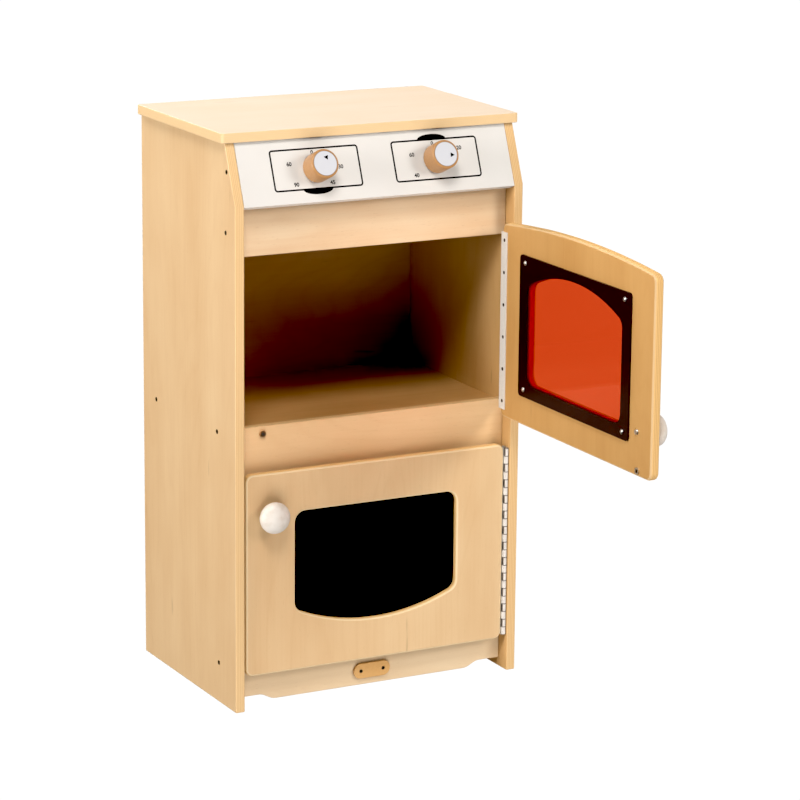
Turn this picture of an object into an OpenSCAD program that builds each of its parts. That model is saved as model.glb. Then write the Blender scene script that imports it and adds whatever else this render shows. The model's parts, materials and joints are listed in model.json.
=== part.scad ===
// Toy washer and dryer stack for a play corner: a birch plywood cabinet with two
// hinged doors and two turning dials.
// X runs to the right seen from the front, Y to the back and Z up. The origin is on
// the floor, midway between the outsides of the side panels and midway in their depth.
// The upper door is drawn open, the lower door closed. All sizes are in millimetres.

/* [Cabinet] */
// Width over the two side panels
cabinet_w = 480; // [400:1:560]
// Depth of the side panels
side_d = 340; // [300:1:400]
// Height of the side panels
side_h = 860; // [840:1:900]
// Thickness of side panels, rails and shelves
board_t = 15; // [12:0.5:18]
// Height of the slope at the top front of a side panel
slope_h = 89; // [80:1:100]
// How far the slope leans back over its height
slope_in = 36; // [28:1:44]
// Thickness of the top panel
top_t = 15; // [12:0.5:20]
// Overhang of the top panel at each side
top_over_side = 7; // [2:0.5:15]
// Overhang of the top panel in front of the slope
top_over_front = 6; // [0:0.5:12]
// Corner radius of the top panel
top_corner_r = 5; // [4:1:20]
// Thickness of the back panel
back_t = 5; // [3:0.5:8]
// How far the back panel laps into each side panel
back_lap = 8; // [5:0.5:10]
// Gap between the back panel and the floor
back_lift = 5; // [2:1:15]
// Clearance between the back panel and the ends of its rebates
back_fit = 0.2; // [0.1:0.1:0.5]

/* [Rails and shelves] */
// How far the rails sit behind the front edges of the side panels
rail_recess = 25; // [23:0.5:30]
// How far the header rail reaches below the start of the slope
header_h = 80; // [70:1:95]
// Height of the bevel that the header rail shares with the control panel
header_bevel = 7; // [4:1:10]
// Height of the top of the middle rail
mid_top = 433; // [430:1:438]
// Height of the bottom of the middle rail
mid_bottom = 345; // [335:1:350]
// Height of the top of the toe kick
toe_top = 72; // [68:1:80]
// Gap between the toe kick and the floor
toe_lift = 5; // [2:1:10]
// Rise of the foot notch at each end of the toe kick
notch_rise = 9.5; // [5:0.5:14]
// Width of the level part of a foot notch
notch_flat = 35; // [20:1:60]
// Width of the curved part of a foot notch
notch_curve = 28; // [15:1:50]
// How far the middle rail stands up above the upper shelf
upper_lip = 4; // [1:0.5:6]
// How far the toe kick stands up above the lower shelf
lower_lip = 2; // [1:0.5:4]

/* [Control panel] */
// Thickness of the laminated control panel
panel_t = 15; // [12:0.5:18]
// How far the control panel hangs below the start of the slope
panel_drop = 2; // [0:0.5:4]
// Distance from the centre of the cabinet to each dial
dial_x = 100; // [70:1:130]
// Distance of the dials up the slope
dial_s = 48.5; // [42:0.5:54]
// Diameter of a dial
dial_d = 44; // [40:1:56]
// Height of a dial above the panel
dial_h = 32; // [26:1:40]
// Rounding of the front edge of a dial
dial_round = 2.5; // [1:0.5:3]
// Chamfer at the foot of a dial
dial_chamfer = 1; // [0.5:0.1:2]
// Gap between a dial and the control panel
dial_clear = 0.3; // [0.2:0.1:0.6]
// Diameter of the white face disc
face_d = 37.5; // [32:0.5:38]
// Thickness of the white face disc
face_t = 1.5; // [1:0.1:2.5]
// How far the face disc stands out of its seat
face_proud = 0.3; // [0:0.1:0.6]
// Shank diameter of a dial bolt
bolt_d = 6; // [4:0.5:8]
// Head diameter of a dial bolt
bolt_head_d = 12; // [9:0.5:14]
// Head height of a dial bolt
bolt_head_h = 4; // [3:0.5:5]
// Clearance round the head of a dial bolt
bolt_head_clear = 0.5; // [0.3:0.1:1]
// Gap between the head of a dial bolt and the face disc
bolt_head_gap = 1.5; // [1:0.5:3]
// How far a dial bolt stands out past its nut
bolt_over = 2; // [1:0.5:4]
// Outer diameter of a dial washer
washer_d = 18; // [14:1:24]
// Thickness of a dial washer
washer_t = 1.5; // [1:0.1:2.5]
// Width across the flats of a dial nut
nut_w = 10; // [9:0.5:13]
// Height of a dial nut
nut_h = 6; // [4:0.5:8]

/* [Doors] */
// Thickness of the doors
door_t = 15; // [12:0.5:16]
// How far the door fronts sit behind the front edges of the side panels
door_recess = 5; // [4.5:0.5:6]
// Gap between a door and the left side panel
free_gap = 4.5; // [2:0.5:8]
// Corner radius of the doors
door_corner_r = 12; // [6:1:14]
// How far a door laps over the middle rail and the toe kick
door_lap = 20; // [15:1:25]
// How far the straight sides of the upper door lap over the header rail
header_lap = 22; // [16:1:28]
// Rise of the arched top of the upper door
upper_arch = 12.5; // [6:0.5:20]
// Opening angle at which the upper door is drawn
upper_open = 90; // [0:1:110]

/* [Windows] */
// Distance from a door's upright edges to its window
window_margin = 82.05; // [72:0.05:95]
// Rise of the curved edge of a window
window_arch = 31; // [20:1:40]
// Corner radius of a window cut-out
window_r = 17; // [10:1:24]
// Distance from the upper door's lower edge to its window
upper_window_up = 66.5; // [60:0.5:72]
// Distance from the crown of the upper door to its window
upper_window_down = 63; // [58:0.5:70]
// Distance from the lower door's upper edge to its window
lower_window_down = 65; // [60:0.5:72]
// Distance from the lower door's lower edge to its window
lower_window_up = 65; // [58:0.5:72]
// Width of the window frame beside the cut-out
frame_side = 22; // [18:0.5:28]
// Width of the window frame beyond the straight edge of the cut-out
frame_foot = 20.5; // [16:0.5:24]
// Width of the window frame beyond the crown
frame_crown = 14; // [12:0.5:18]
// Thickness of the window frame
frame_t = 3; // [2:0.5:4]
// Corner radius of the window frame
frame_r = 6; // [3:0.5:10]
// Thickness of the window pane
pane_t = 3; // [2:0.5:4]
// How far the pane laps past the cut-out
pane_lap = 7; // [4:0.5:9]
// Inset of the frame screws from the frame's sides
frame_screw_side = 16; // [10:0.5:18]
// Inset of the frame screws from the frame's upper and lower edges
frame_screw_end = 11.5; // [8:0.5:12]
// Wood left in front of the tip of a frame screw
frame_screw_rest = 4; // [2:0.5:6]

/* [Hinges] */
// Distance from the hinge pin to the right side panel
pin_from_side = 3.5; // [3.5:0.1:4]
// Distance from the hinge pin to the door's edge
pin_from_door = 3.9; // [3.8:0.1:4.4]
// Outer diameter of a hinge knuckle
knuckle_d = 6.4; // [6:0.1:6.4]
// Length of one hinge knuckle with its gap
knuckle_l = 12.5; // [10:0.5:16]
// Gap between neighbouring knuckles
knuckle_gap = 0.3; // [0.2:0.1:0.6]
// Extra clearance between a knuckle and the other leaf
leaf_relief = 0.2; // [0.1:0.1:0.3]
// Diameter of the hinge pin
pin_d = 2.8; // [2:0.1:3.2]
// Thickness of the hinge leaves
leaf_t = 1.2; // [1:0.1:1.4]
// Width of a hinge leaf on the side panel or on the door's inner face
leaf_w = 17; // [14:0.5:17.5]
// Spacing of the hinge screws
hinge_screw_pitch = 50; // [35:1:80]

/* [Door hardware] */
// Diameter of a door knob
knob_d = 48; // [36:1:54]
// How far a door knob stands out
knob_h = 30; // [22:1:36]
// Diameter of a door knob's foot
knob_foot_d = 24; // [18:1:30]
// Distance from a knob's centre to the door's free edge
knob_in = 40; // [32:1:50]
// Distance from a knob's centre to the door's nearer level edge
knob_up = 65; // [45:1:80]
// Shank diameter of a knob screw
knob_screw_d = 4; // [3:0.5:5]
// Head diameter of a knob screw
knob_screw_head_d = 9; // [7:0.5:11]
// Head height of a knob screw
knob_screw_head_h = 2.4; // [1.5:0.1:3]
// How far a knob screw bites into its knob
knob_screw_bite = 13; // [8:0.5:18]
// Diameter of a magnet and of its strike plate
magnet_d = 10; // [9:0.5:16]
// Thickness of a strike plate
strike_t = 1.5; // [1:0.1:2]
// Distance from a strike's centre to the door's free edge
strike_in = 36; // [20:1:50]
// Distance from a strike's centre to the door's level edge
strike_up = 8.5; // [8:0.5:11]
// Gap between a magnet and the strike of its closed door
magnet_gap = 0.4; // [0.3:0.1:0.8]

/* [Plain badge] */
// Width of the badge
badge_w = 62; // [40:1:90]
// Height of the badge
badge_h = 24; // [16:1:28]
// Thickness of the badge
badge_t = 4; // [2:0.5:6]
// Height of the badge's centre above the floor
badge_z = 28; // [24:1:32]

/* [Fasteners] */
// Head diameter of the carcass screws
side_screw_head_d = 7; // [6:0.5:9]
// Shank diameter of the carcass screws
side_screw_d = 4; // [3:0.5:5]
// Length of the carcass screws
side_screw_l = 40; // [30:1:50]
// Height of the carcass screws in the header rail above its lower edge
header_screw_up = 37; // [20:1:55]
// Distance from the front of the upper shelf to its front screws
upper_screw_in = 25; // [15:1:60]
// Distance from the front of the lower shelf to its front screws
lower_screw_in = 21; // [15:1:60]
// Distance from the back of the side panels to the upper shelf's rear screws
rear_screw_in = 50; // [30:1:80]
// Rows of screws that hold the back panel to a side panel
back_rows = 4; // [3:1:6]
// Height of the lowest of these rows, and depth of the top one below the side panel's top
back_row_end = 90; // [60:1:120]
// Head diameter of the small screws
small_screw_head_d = 5.6; // [5:0.1:6.5]
// Shank diameter of the small screws
small_screw_d = 2.8; // [2:0.1:3.2]
// Length of the small screws
small_screw_l = 11; // [8:0.5:12]
// Head diameter of the dome screws
dome_d = 7.5; // [6:0.1:9]
// Head height of the dome screws
dome_h = 2.4; // [1.5:0.1:3.5]
// Diameter of the dowels that hold the top panel
dowel_d = 8; // [6:1:10]
// Length of a dowel in a side panel
dowel_down = 15; // [10:1:25]
// Length of a dowel in the top panel
dowel_up = 10; // [6:1:11]
// Clearance round screws, dowels and bolts
fit = 0.05; // [0.02:0.01:0.1]

/* [Hidden] */
$fn = 64;

birch = "#e6c396";
birch_edge = "#efd3a4";
laminate = "#f4f0ec";
hinge_white = "#efebe6";
dark_steel = "#3a322c";
bright_steel = "#c9c9c6";
corner_steps = 10;
crown_steps = 28;
overcut = 1;

slope_z = side_h - slope_h;
header_z = slope_z - header_h;
upper_door_z = mid_top - door_lap;
upper_door_h = header_z + header_lap - upper_door_z;
lower_door_z = toe_top - door_lap;
lower_door_h = mid_bottom + door_lap - lower_door_z;

inner_x = cabinet_w / 2 - board_t;
front_y = -side_d / 2;
back_y = side_d / 2;
rail_y = front_y + rail_recess;
shelf_y = rail_y + board_t;
back_face_y = back_y - back_t;

// The slope: distances up its face, and depths behind it.
tilt = atan2(slope_in, slope_h);
slope_l = slope_h / cos(tilt);
function slope_yz(up, depth) = [
    front_y + up * sin(tilt) + depth * cos(tilt),
    slope_z + up * cos(tilt) - depth * sin(tilt)
];
panel_back_top_up = (slope_h + panel_t * sin(tilt)) / cos(tilt);
panel_back_foot_z = slope_z + (rail_recess - panel_t / cos(tilt)) / tan(tilt);
header_top = panel_back_foot_z + header_bevel;

upper_shelf_z = mid_top - upper_lip - board_t;
lower_shelf_z = toe_top - lower_lip - board_t;

// Door measures in the hinge's own frame: the pin is at the origin, a closed door
// runs to -X and its front face lies on Y = 0.
axis_x = inner_x - pin_from_side;
axis_y = front_y + door_recess;
hinge_gap = pin_from_side + pin_from_door;
door_w = 2 * inner_x - hinge_gap - free_gap;
door_mid_x = -pin_from_door - door_w / 2;
free_x = -pin_from_door - door_w;
pane_y = door_t - pane_t;
window_w = door_w - 2 * window_margin;
upper_window_h = upper_door_h + upper_arch - upper_window_up - upper_window_down;
lower_window_h = lower_door_h - lower_window_up - lower_window_down;
frame_w = window_w + 2 * frame_side;
frame_screw_l = frame_t + door_t - frame_screw_rest;

leaf_screw_in = (leaf_w + leaf_t) / 2;
side_leaf_w = leaf_w;
knuckle_r = knuckle_d / 2;
pin_hole_r = pin_d / 2 + fit;
leaf_notch = knuckle_r + knuckle_gap + leaf_relief;
hinge_end = door_corner_r;
function knuckle_count(door_h) = 2 * round((door_h - hinge_end) / knuckle_l / 2 - 0.4);
upper_knuckles = knuckle_count(upper_door_h);
lower_knuckles = knuckle_count(lower_door_h);
upper_hinge_z = upper_door_z + (upper_door_h - upper_knuckles * knuckle_l) / 2;
lower_hinge_z = lower_door_z + (lower_door_h - lower_knuckles * knuckle_l) / 2;

upper_knob_z = upper_door_z + knob_up;
lower_knob_z = lower_door_z + lower_door_h - knob_up;
upper_strike_z = upper_door_z + strike_up;
lower_strike_z = lower_door_z + lower_door_h - strike_up;
magnet_t = rail_recess - door_recess - door_t - strike_t - magnet_gap;

bolt_seat = dial_h - face_t - bolt_head_h - bolt_head_gap;
bolt_tip = panel_t + washer_t + nut_h + bolt_over;
badge_screw_x = badge_w / 2 - badge_h / 2;
back_row_step = (side_h - 2 * back_row_end) / (back_rows - 1);
dowel_steps = [0.2, 0.5, 0.8];

// The curved profile of an arc, from one angle to another.
function arc(cx, cy, r, from, to, steps) =
    [for (i = [0:steps]) let (a = from + (to - from) * i / steps) [cx + r * cos(a), cy + r * sin(a)]];

function crown_radius(w, rise) = (w * w / 4 + rise * rise) / (2 * rise);

// A rounded outline with a straight lower edge on Y = 0 and a crowned upper edge.
function crowned(w, h, rise, r, grow = 0) =
    let (
        half = w / 2 + grow,
        corner = r + grow,
        crown = crown_radius(w, rise) + grow,
        crown_y = h - crown_radius(w, rise),
        x = half - corner,
        y = crown_y + sqrt(pow(crown - corner, 2) - x * x),
        meet = atan2(y - crown_y, x),
        top = arc(0, crown_y, crown, meet, 180 - meet, crown_steps)
    )
    concat(
        arc(-x, corner - grow, corner, 180, 270, corner_steps),
        arc(x, corner - grow, corner, 270, 360, corner_steps),
        arc(x, y, corner, 0, meet, corner_steps),
        [for (i = [1:crown_steps - 1]) top[i]],
        arc(-x, y, corner, 180 - meet, 180, corner_steps)
    );

// A rounded rectangle centred on X, standing on Y = 0.
function rounded(w, h, r) = concat(
    arc(-w / 2 + r, r, r, 180, 270, corner_steps),
    arc(w / 2 - r, r, r, 270, 360, corner_steps),
    arc(w / 2 - r, h - r, r, 0, 90, corner_steps),
    arc(-w / 2 + r, h - r, r, 90, 180, corner_steps)
);

// An outline drawn in X and Z, made solid between two depths.
module upright(y0, y1) {
    translate([0, y1, 0]) rotate([90, 0, 0]) linear_extrude(y1 - y0) children();
}

// A profile drawn in Y and Z, made solid between two widths.
module along_x(x0, x1) {
    translate([x0, 0, 0]) rotate([90, 0, 90]) linear_extrude(x1 - x0) children();
}

// A countersunk screw that points down from the origin.
module screw(head_d, d, l) {
    sink = (head_d - d) / 2;
    rotate_extrude() polygon([[0, 0], [head_d / 2, 0], [d / 2, -sink], [d / 2, d / 2 - l], [0, -l]]);
}

module screw_hole(head_d, d, l) {
    sink = (head_d - d) / 2;
    rotate_extrude() polygon([
        [0, overcut], [head_d / 2 + fit, overcut], [head_d / 2 + fit, 0],
        [d / 2 + fit, -sink], [d / 2 + fit, -l - fit], [0, -l - fit]
    ]);
}

module small_screw() screw(small_screw_head_d, small_screw_d, small_screw_l);
module small_hole() screw_hole(small_screw_head_d, small_screw_d, small_screw_l);

// A dome-headed screw that points down from the origin, where its head sits.
module dome_screw(l) {
    rotate_extrude() polygon(concat(
        [[0, -l], [small_screw_d / 2, -l], [small_screw_d / 2, 0], [dome_d / 2, 0]],
        [for (i = [1:6]) [dome_d / 2 * cos(15 * i), dome_h * sin(15 * i)]]
    ));
}

// Directions in which a screw is driven.
module to_right() rotate([0, -90, 0]) children();
module to_back() rotate([90, 0, 0]) children();
module to_front() rotate([-90, 0, 0]) children();

// Places of the screws through a side panel, as depth and height.
side_screw_yz = [
    slope_yz(slope_l * 0.57, panel_t * 0.6),
    [rail_y + board_t / 2, header_z + header_screw_up],
    [shelf_y + upper_screw_in, upper_shelf_z + board_t / 2],
    [back_y - rear_screw_in, upper_shelf_z + board_t / 2],
    [shelf_y + lower_screw_in, lower_shelf_z + board_t / 2]
];

module at_side_screws() {
    for (p = side_screw_yz) translate([-cabinet_w / 2, p[0], p[1]]) to_right() children();
}

module side_screw_holes() {
    at_side_screws() screw_hole(side_screw_head_d, side_screw_d, side_screw_l);
    mirror([1, 0, 0]) at_side_screws() screw_hole(side_screw_head_d, side_screw_d, side_screw_l);
}

// Places of the screws in the back panel, along the side panels and the shelves.
module at_back_screws() {
    for (side = [-1, 1], i = [0:back_rows - 1])
        translate([side * (inner_x + back_lap / 2), back_y, back_row_end + i * back_row_step])
            to_front() children();
    for (z = [upper_shelf_z, lower_shelf_z], side = [-1, 0, 1])
        translate([side * inner_x * 0.6, back_y, z + board_t / 2]) to_front() children();
}

module at_dowels() {
    run = back_y - (front_y + slope_in);
    for (side = [-1, 1], k = dowel_steps)
        translate([side * (cabinet_w - board_t) / 2, front_y + slope_in + k * run, side_h])
            children();
}

module dowel(extra) {
    translate([0, 0, -dowel_down - extra])
        cylinder(d = dowel_d + 2 * extra, h = dowel_down + dowel_up + 2 * extra);
}

// The control panel's face: X as in the cabinet, Y up the slope and Z out of it.
module on_slope() translate([0, front_y, slope_z]) rotate([90 - tilt, 0, 0]) children();
module at_dial(side) on_slope() translate([side * dial_x, dial_s, 0]) children();

module at_hinge(open) translate([axis_x, axis_y, 0]) rotate([0, 0, open]) children();

// Hinges.
function screw_rows(knuckles) = floor((knuckles * knuckle_l - small_screw_head_d * 2) / hinge_screw_pitch);
module at_leaf_screws(knuckles, z) {
    rows = screw_rows(knuckles);
    for (i = [0:rows])
        translate([0, 0, z + knuckles * knuckle_l / 2 + (i - rows / 2) * hinge_screw_pitch])
            children();
}

module at_side_leaf_screws(knuckles, z) {
    at_leaf_screws(knuckles, z) translate([pin_from_side - leaf_t, leaf_screw_in, 0])
        to_right() children();
}

module at_door_leaf_screws(knuckles, z) {
    at_leaf_screws(knuckles, z)
        translate([-pin_from_door - leaf_screw_in + leaf_t, door_t + leaf_t, 0])
            to_front() children();
}

// Every second knuckle of a hinge belongs to the same leaf.
module at_knuckles(knuckles, z, first) {
    for (i = [first:2:knuckles - 1]) translate([0, 0, z + i * knuckle_l]) children();
}

module side_leaf(knuckles, z) {
    difference() {
        union() {
            translate([pin_from_side - leaf_t, 0, z]) cube([leaf_t, side_leaf_w, knuckles * knuckle_l]);
            at_knuckles(knuckles, z, 1) translate([0, 0, knuckle_gap / 2])
                cylinder(r = knuckle_r, h = knuckle_l - knuckle_gap);
        }
        at_knuckles(knuckles, z, 0) translate([0, -overcut, -knuckle_gap / 2])
            cube([pin_from_side + overcut, leaf_notch + overcut, knuckle_l + knuckle_gap]);
        translate([0, 0, z - overcut]) cylinder(r = pin_hole_r, h = knuckles * knuckle_l + 2 * overcut);
        at_side_leaf_screws(knuckles, z) small_hole();
    }
}

module door_leaf(knuckles, z) {
    difference() {
        union() {
            translate([-pin_from_door, 0, z]) cube([leaf_t, door_t + leaf_t, knuckles * knuckle_l]);
            translate([-pin_from_door - leaf_w + leaf_t, door_t, z])
                cube([leaf_w, leaf_t, knuckles * knuckle_l]);
            at_knuckles(knuckles, z, 0) translate([0, 0, knuckle_gap / 2])
                cylinder(r = knuckle_r, h = knuckle_l - knuckle_gap);
        }
        at_knuckles(knuckles, z, 1) translate([-pin_from_door - overcut, -overcut, -knuckle_gap / 2])
            cube([pin_from_door + overcut, leaf_notch + overcut, knuckle_l + knuckle_gap]);
        translate([0, 0, z - overcut]) cylinder(r = pin_hole_r, h = knuckles * knuckle_l + 2 * overcut);
        at_door_leaf_screws(knuckles, z) small_hole();
    }
}

module hinge_pin(knuckles, z) {
    translate([0, 0, z]) cylinder(d = pin_d, h = knuckles * knuckle_l);
}

// Window pieces, drawn with the straight edge of the cut-out on Z = 0.
module window_outline(h, grow) polygon(crowned(window_w, h, window_arch, window_r, grow));

module at_frame_screws(h) {
    x = frame_w / 2 - frame_screw_side;
    for (side = [-1, 1], z = [frame_screw_end - frame_foot, h + frame_crown - frame_screw_end])
        translate([side * x, door_t + frame_t, z]) to_front() children();
}

module window_frame(h) {
    difference() {
        upright(door_t, door_t + frame_t) difference() {
            translate([0, -frame_foot])
                polygon(rounded(frame_w, h + frame_foot + frame_crown, frame_r));
            window_outline(h, 0);
        }
        at_frame_screws(h) translate([0, 0, -frame_t - overcut])
            cylinder(d = small_screw_d + 2 * fit, h = frame_t + 2 * overcut);
    }
}

module window_pane(h) upright(pane_y, door_t) window_outline(h, pane_lap);

module window_holes(h) {
    upright(-overcut, door_t + overcut) window_outline(h, 0);
    upright(pane_y, door_t + overcut) window_outline(h, pane_lap + fit);
    at_frame_screws(h) translate([0, 0, -frame_screw_l - fit])
        cylinder(d = small_screw_d + 2 * fit, h = frame_screw_l + overcut);
}

module in_upper_window() translate([door_mid_x, 0, upper_door_z + upper_window_up]) children();
module in_lower_window() {
    translate([door_mid_x, 0, lower_door_z + lower_door_h - lower_window_down])
        mirror([0, 0, 1]) children();
}

// Door hardware, at the free edge of a door.
module at_knob(z) translate([free_x + knob_in, 0, z]) rotate([90, 0, 0]) children();
module at_strike(z) translate([free_x + strike_in, door_t, z]) to_front() children();

module door_knob() {
    r = knob_d / 2;
    foot_r = knob_foot_d / 2;
    waist_h = knob_h * 0.3;
    rim_h = knob_h * 0.55;
    difference() {
        rotate_extrude() polygon(concat(
            [[0, 0], [foot_r, 0]],
            [for (i = [1:8]) let (k = i / 8)
                [foot_r + (r * 0.86 - foot_r) * pow(k, 2.4) - 1.6 * sin(180 * k), waist_h * k]],
            [for (i = [1:4]) let (k = i / 4)
                [r * 0.86 + r * 0.14 * sin(90 * k), waist_h + (rim_h - waist_h) * (1 - cos(90 * k))]],
            [for (i = [1:12]) [r * cos(7.5 * i), rim_h + (knob_h - rim_h) * sin(7.5 * i)]]
        ));
        translate([0, 0, -overcut])
            cylinder(d = knob_screw_d + 2 * fit, h = knob_screw_bite + overcut + fit);
    }
}

module knob_screw() {
    translate([0, 0, -door_t]) cylinder(d = knob_screw_d, h = door_t + knob_screw_bite);
    translate([0, 0, -door_t - knob_screw_head_h])
        cylinder(d1 = knob_screw_head_d - 2, d2 = knob_screw_head_d, h = knob_screw_head_h);
}

module strike() {
    difference() {
        cylinder(d = magnet_d, h = strike_t);
        translate([0, 0, strike_t]) small_hole();
    }
}

module door_board(knob_z, strike_z, knuckles, hinge_z) {
    difference() {
        children();
        at_knob(knob_z) translate([0, 0, -door_t - overcut])
            cylinder(d = knob_screw_d + 2 * fit, h = door_t + 2 * overcut);
        at_strike(strike_z) translate([0, 0, strike_t]) small_hole();
        at_door_leaf_screws(knuckles, hinge_z) small_hole();
    }
}

// Magnets on the middle rail, in line with the strikes of the closed doors.
module at_magnets() {
    for (z = [upper_strike_z, lower_strike_z])
        translate([axis_x + free_x + strike_in, rail_y, z]) to_back() children();
}

// Dials: Z points out of the control panel.
module dial() {
    r = dial_d / 2;
    difference() {
        translate([0, 0, dial_clear]) rotate_extrude() polygon(concat(
            [[0, 0], [r - dial_chamfer, 0], [r, dial_chamfer]],
            [for (i = [0:6]) [r - dial_round * (1 - cos(15 * i)), dial_h - dial_round * (1 - sin(15 * i))]],
            [[0, dial_h]]
        ));
        cylinder(d = bolt_d + 4 * fit, h = dial_h);
        translate([0, 0, bolt_seat]) cylinder(d = bolt_head_d + 2 * bolt_head_clear, h = dial_h);
        translate([0, 0, dial_h + dial_clear - face_t]) cylinder(d = face_d + 2 * fit, h = face_t + overcut);
    }
}

module dial_face() {
    translate([0, 0, dial_h + dial_clear - face_t]) cylinder(d = face_d, h = face_t + face_proud);
}

module dial_bolt() {
    translate([0, 0, bolt_seat + dial_clear]) cylinder(d = bolt_head_d, h = bolt_head_h);
    translate([0, 0, -bolt_tip]) cylinder(d = bolt_d, h = bolt_tip + bolt_seat + dial_clear + 0.1);
}

module dial_washer() {
    translate([0, 0, -panel_t - washer_t]) difference() {
        cylinder(d = washer_d, h = washer_t);
        translate([0, 0, -overcut]) cylinder(d = bolt_d + 2 * fit, h = washer_t + 2 * overcut);
    }
}

module dial_nut() {
    translate([0, 0, -panel_t - washer_t - nut_h]) difference() {
        cylinder(d = nut_w / cos(30), h = nut_h, $fn = 6);
        translate([0, 0, -overcut]) cylinder(d = bolt_d + 2 * fit, h = nut_h + 2 * overcut);
    }
}

// Plain badge on the toe kick.
module at_badge_screws() {
    for (side = [-1, 1]) translate([side * badge_screw_x, rail_y - badge_t, badge_z]) to_back() children();
}

// Cabinet pieces.
module side_panel_profile() {
    polygon([[front_y, 0], [back_y, 0], [back_y, side_h], [front_y + slope_in, side_h], [front_y, slope_z]]);
}

module plain_side_panel() {
    difference() {
        along_x(-cabinet_w / 2, -inner_x) side_panel_profile();
        translate([-inner_x - back_lap, back_face_y, -overcut])
            cube([back_lap + overcut, back_t + overcut, side_h + 2 * overcut]);
        at_side_screws() screw_hole(side_screw_head_d, side_screw_d, side_screw_l);
        at_dowels() dowel(fit);
        at_back_screws() small_hole();
    }
}

module left_side_panel() color(birch) plain_side_panel();

module right_side_panel() {
    color(birch) difference() {
        mirror([1, 0, 0]) plain_side_panel();
        at_hinge(0) at_side_leaf_screws(upper_knuckles, upper_hinge_z) small_hole();
        at_hinge(0) at_side_leaf_screws(lower_knuckles, lower_hinge_z) small_hole();
    }
}

module top_panel() {
    w = cabinet_w + 2 * top_over_side;
    top_front = front_y + slope_in - top_over_front;
    color(birch) difference() {
        translate([0, top_front, side_h]) linear_extrude(top_t)
            polygon(rounded(w, back_y - top_front, top_corner_r));
        at_dowels() dowel(fit);
    }
}

module back_panel() {
    color(birch_edge) difference() {
        translate([-inner_x - back_lap + back_fit, back_face_y, back_lift])
            cube([2 * (inner_x + back_lap - back_fit), back_t, side_h - back_lift]);
        at_back_screws() small_hole();
    }
}

module header_rail() {
    color(birch) difference() {
        along_x(-inner_x, inner_x) polygon([
            [rail_y, header_z], [shelf_y, header_z], [shelf_y, header_top],
            [rail_y + header_bevel * tan(tilt), header_top], [rail_y, panel_back_foot_z]
        ]);
        side_screw_holes();
    }
}

module mid_rail() {
    color(birch) difference() {
        translate([-inner_x, rail_y, mid_bottom]) cube([2 * inner_x, board_t, mid_top - mid_bottom]);
        at_magnets() translate([0, 0, magnet_t]) small_hole();
    }
}

module toe_kick() {
    level_x = inner_x - notch_flat - notch_curve;
    curve = [for (i = [0:corner_steps]) let (k = i / corner_steps)
        [level_x + notch_curve * k, toe_lift + notch_rise * (1 - cos(180 * k)) / 2]];
    right = concat(curve, [[inner_x, toe_lift + notch_rise], [inner_x, toe_top]]);
    left = [for (i = [len(right) - 1:-1:0]) [-right[i][0], right[i][1]]];
    color(birch) difference() {
        upright(rail_y, shelf_y) polygon(concat(right, left));
        at_badge_screws() small_hole();
    }
}

module shelf(z) {
    color(birch) difference() {
        translate([-inner_x, shelf_y, z]) cube([2 * inner_x, back_face_y - shelf_y, board_t]);
        side_screw_holes();
        at_back_screws() small_hole();
    }
}

module upper_shelf() shelf(upper_shelf_z);
module lower_shelf() shelf(lower_shelf_z);

module control_panel() {
    color(laminate) difference() {
        along_x(-inner_x, inner_x) polygon([
            slope_yz(-panel_drop, 0), slope_yz(-panel_drop, panel_t),
            slope_yz(panel_back_top_up, panel_t), slope_yz(slope_l, 0)
        ]);
        for (side = [-1, 1]) at_dial(side) translate([0, 0, -panel_t - overcut])
            cylinder(d = bolt_d + 2 * fit, h = panel_t + 2 * overcut);
        side_screw_holes();
    }
}

module badge() {
    color("#d9a45f") difference() {
        translate([0, 0, badge_z - badge_h / 2]) upright(rail_y - badge_t, rail_y)
            polygon(rounded(badge_w, badge_h, badge_h / 2 - 0.5));
        at_badge_screws() small_hole();
    }
}

module badge_screws() color(bright_steel) at_badge_screws() small_screw();
module top_dowels() color(birch_edge) at_dowels() dowel(0);

module left_side_screws() {
    color(dark_steel) at_side_screws() screw(side_screw_head_d, side_screw_d, side_screw_l);
}

module right_side_screws() mirror([1, 0, 0]) left_side_screws();
module back_panel_screws() color(bright_steel) at_back_screws() small_screw();

module dial_bolts() color(bright_steel) for (side = [-1, 1]) at_dial(side) dial_bolt();
module dial_washers() color(bright_steel) for (side = [-1, 1]) at_dial(side) dial_washer();
module dial_nuts() color(bright_steel) for (side = [-1, 1]) at_dial(side) dial_nut();

module catch_magnets() {
    color(dark_steel) difference() {
        at_magnets() cylinder(d = magnet_d, h = magnet_t);
        at_magnets() translate([0, 0, magnet_t]) small_hole();
    }
}

module catch_screws() color(bright_steel) at_magnets() translate([0, 0, magnet_t]) small_screw();

module upper_side_leaf() color(hinge_white) at_hinge(0) side_leaf(upper_knuckles, upper_hinge_z);
module lower_side_leaf() color(hinge_white) at_hinge(0) side_leaf(lower_knuckles, lower_hinge_z);
module upper_hinge_pin() color(bright_steel) at_hinge(0) hinge_pin(upper_knuckles, upper_hinge_z);
module lower_hinge_pin() color(bright_steel) at_hinge(0) hinge_pin(lower_knuckles, lower_hinge_z);

module upper_side_leaf_screws() {
    color(dark_steel) at_hinge(0) at_side_leaf_screws(upper_knuckles, upper_hinge_z) small_screw();
}

module lower_side_leaf_screws() {
    color(dark_steel) at_hinge(0) at_side_leaf_screws(lower_knuckles, lower_hinge_z) small_screw();
}

// Upper door, drawn open.
module upper_door_board() {
    color(birch) at_hinge(upper_open) difference() {
        door_board(upper_knob_z, upper_strike_z, upper_knuckles, upper_hinge_z)
            translate([door_mid_x, 0, upper_door_z]) upright(0, door_t)
                polygon(crowned(door_w, upper_door_h + upper_arch, upper_arch, door_corner_r));
        in_upper_window() window_holes(upper_window_h);
    }
}

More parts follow.
